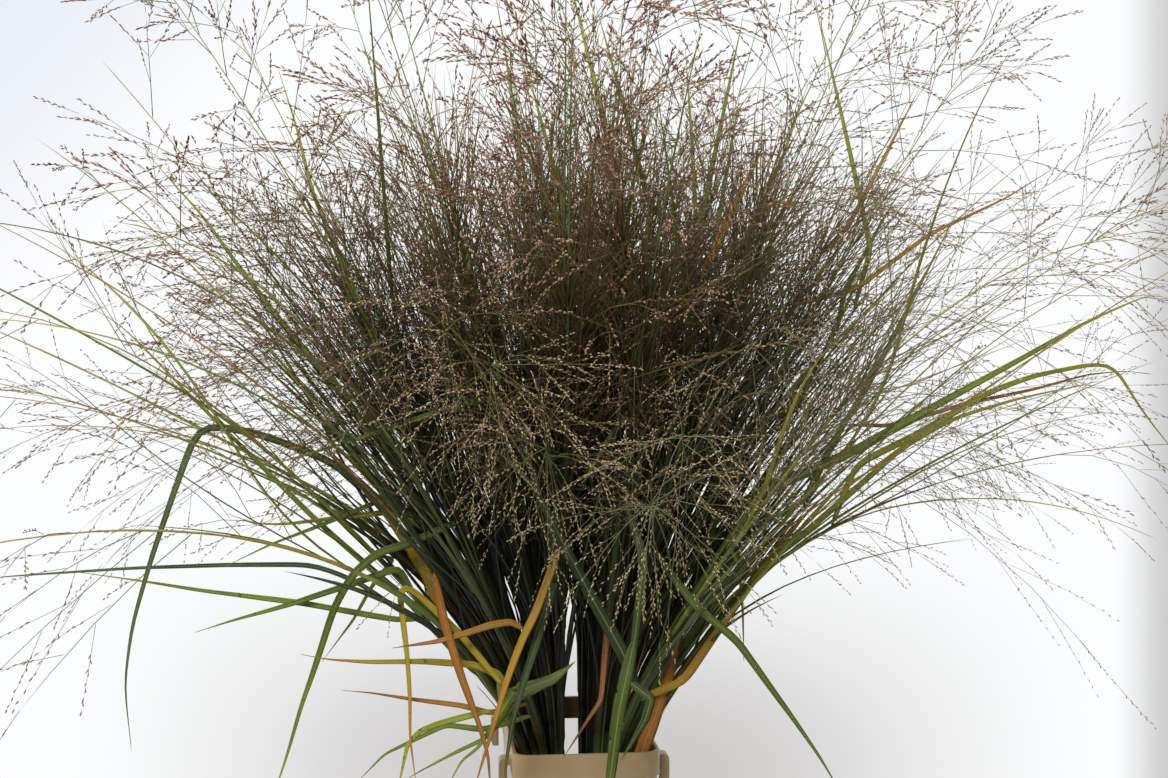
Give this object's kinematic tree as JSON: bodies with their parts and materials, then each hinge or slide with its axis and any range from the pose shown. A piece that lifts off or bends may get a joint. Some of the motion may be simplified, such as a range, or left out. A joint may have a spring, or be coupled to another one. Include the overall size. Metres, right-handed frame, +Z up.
{
  "type": "switchgrass",
  "caption": "Two bunches of cut switchgrass with airy open panicles and long kinked leaves, fanning out of a slim plastic flower holder with hand slots.",
  "frame": {"origin": "middle of the holder's underside, at the face it stands on", "axes": "+Z up; the holder's narrow front faces -Y and its long side walls face -X and +X, with the left bunch on -X and the right bunch on +X"},
  "size_m": [1.0623, 0.9616, 0.9978],
  "materials": {
    "holder": "satin",
    "water": "gloss",
    "grass": "matte"
  },
  "bodies": {
    "root": {"holder": "holder", "water": "water", "leafy_stem_left_01": "grass", "leafy_stem_left_02": "grass", "leafy_stem_left_03": "grass", "leafy_stem_left_04": "grass", "leafy_stem_left_05": "grass", "leafy_stem_left_06": "grass", "leafy_stem_left_07": "grass", "leafy_stem_left_08": "grass", "leafy_stem_left_09": "grass", "leafy_stem_left_10": "grass", "leafy_stem_left_11": "grass", "leafy_stem_left_12": "grass", "leafy_stem_left_13": "grass", "leafy_stem_left_14": "grass", "leafy_stem_left_15": "grass", "leafy_stem_left_16": "grass", "leafy_stem_left_17": "grass", "leafy_stem_left_18": "grass", "leafy_stem_left_19": "grass", "leafy_stem_left_20": "grass", "leafy_stem_left_21": "grass", "leafy_stem_left_22": "grass", "leafy_stem_left_23": "grass", "leafy_stem_left_24": "grass", "leafy_stem_left_25": "grass", "leafy_stem_right_01": "grass", "leafy_stem_right_02": "grass", "leafy_stem_right_03": "grass", "leafy_stem_right_04": "grass", "leafy_stem_right_05": "grass", "leafy_stem_right_06": "grass", "leafy_stem_right_07": "grass", "leafy_stem_right_08": "grass", "leafy_stem_right_09": "grass", "leafy_stem_right_10": "grass", "leafy_stem_right_11": "grass", "leafy_stem_right_12": "grass", "leafy_stem_right_13": "grass", "leafy_stem_right_14": "grass", "leafy_stem_right_15": "grass", "leafy_stem_right_16": "grass", "leafy_stem_right_17": "grass", "leafy_stem_right_18": "grass", "leafy_stem_right_19": "grass", "leafy_stem_right_20": "grass", "leafy_stem_right_21": "grass", "leafy_stem_right_22": "grass", "leafy_stem_right_23": "grass", "leafy_stem_right_24": "grass", "leafy_stem_right_25": "grass"}
  },
  "joints": []
}
